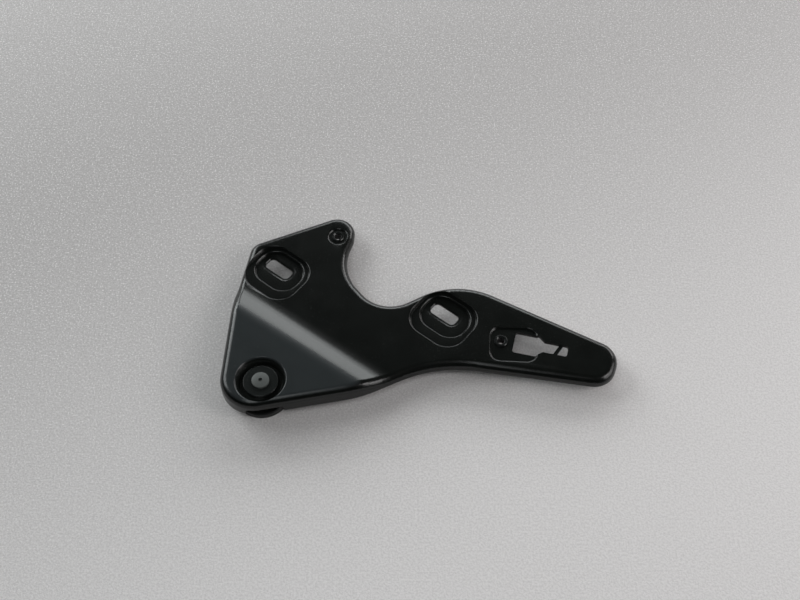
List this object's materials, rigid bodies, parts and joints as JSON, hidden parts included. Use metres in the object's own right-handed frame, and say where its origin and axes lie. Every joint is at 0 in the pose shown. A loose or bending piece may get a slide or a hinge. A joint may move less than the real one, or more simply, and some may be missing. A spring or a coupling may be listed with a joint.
{
  "type": "boot lid hinge",
  "caption": "Boot lid hinge of pressed steel: a joggled lid plate with slotted pads and a keyhole window, turning on a riveted pivot over a flat body leaf.",
  "frame": {"origin": "middle of the footprint, in the plane that the body leaf lies on", "axes": "+Z along the pivot axis, from the body leaf towards the rivet's head; +X along the hinge from the pivot end to the arm's tip; +Y from the pivot towards the knob lobe"},
  "size_m": [0.287, 0.1728, 0.0225],
  "materials": {
    "plate_coat": "satin black coating",
    "leaf_coat": "satin black coating",
    "rivet_coat": "satin black coating",
    "washer_coat": "dull black coating",
    "nut_coat": "satin black coating",
    "bush_bronze": "plain sintered bronze",
    "slip_plastic": "dull low-friction plastic",
    "spring_steel": "oiled spring steel",
    "sleeve_steel": "turned zinc-plated steel"
  },
  "bodies": {
    "body_side": {"body_leaf": "leaf_coat", "pivot_rivet": "rivet_coat", "spacer_sleeve": "sleeve_steel", "disc_spring": "spring_steel", "head_washer": "washer_coat"},
    "lid_side": {"hinge_plate": "plate_coat", "knob_clinch_nut": "nut_coat", "window_clinch_nut": "nut_coat", "pivot_bush": "bush_bronze", "slip_ring": "slip_plastic"}
  },
  "joints": [
    {"name": "hinge_pivot", "type": "hinge", "parent": "body_side", "child": "lid_side", "pos_m": [-0.11411, -0.06495, 0.017], "axis": [0, 0, 1], "range_deg": [0, 90]}
  ]
}
